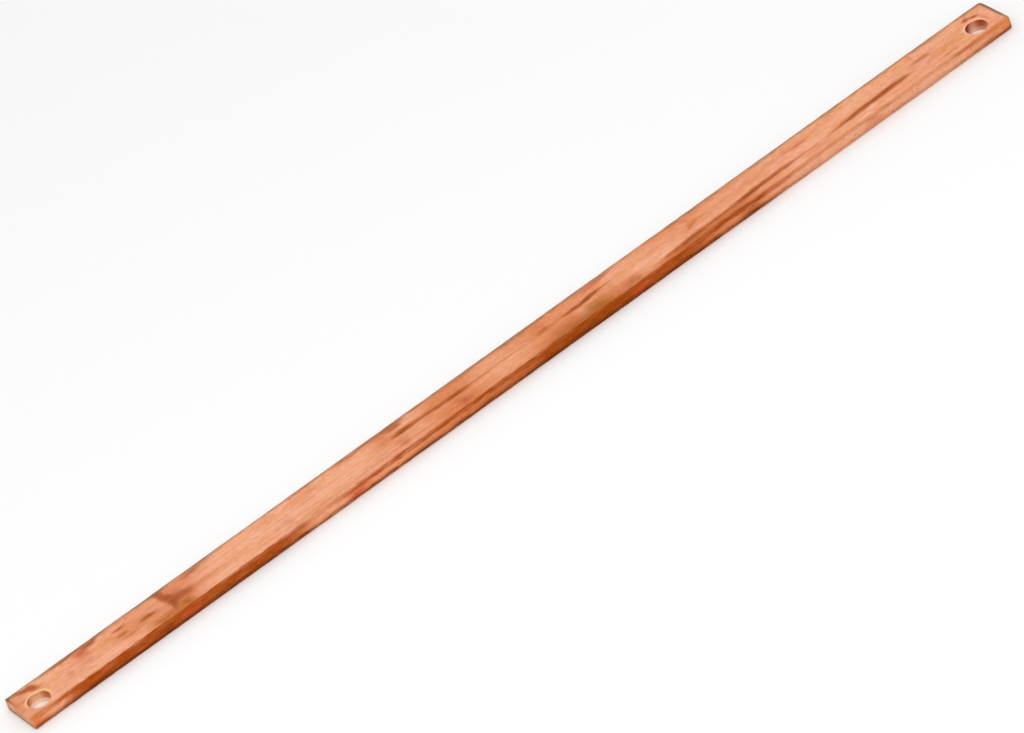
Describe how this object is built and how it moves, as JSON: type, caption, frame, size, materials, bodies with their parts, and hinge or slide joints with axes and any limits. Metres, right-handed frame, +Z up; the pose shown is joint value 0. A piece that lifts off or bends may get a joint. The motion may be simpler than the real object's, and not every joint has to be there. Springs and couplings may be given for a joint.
{
  "type": "rack grounding busbar",
  "caption": "Flat copper bar with rolled edges, deburred square-cut ends and a plain round screw hole near each end, for earthing equipment in a 19 inch rack.",
  "frame": {"origin": "under the middle of the bar, on the face it rests on", "axes": "+X along the length towards the end with more metal past its hole, +Y across the width away from the edge the holes are nearer to, +Z up through the thickness"},
  "size_m": [0.485, 0.02, 0.005],
  "materials": {
    "copper": null
  },
  "bodies": {
    "root": {"busbar": "copper"}
  },
  "joints": []
}
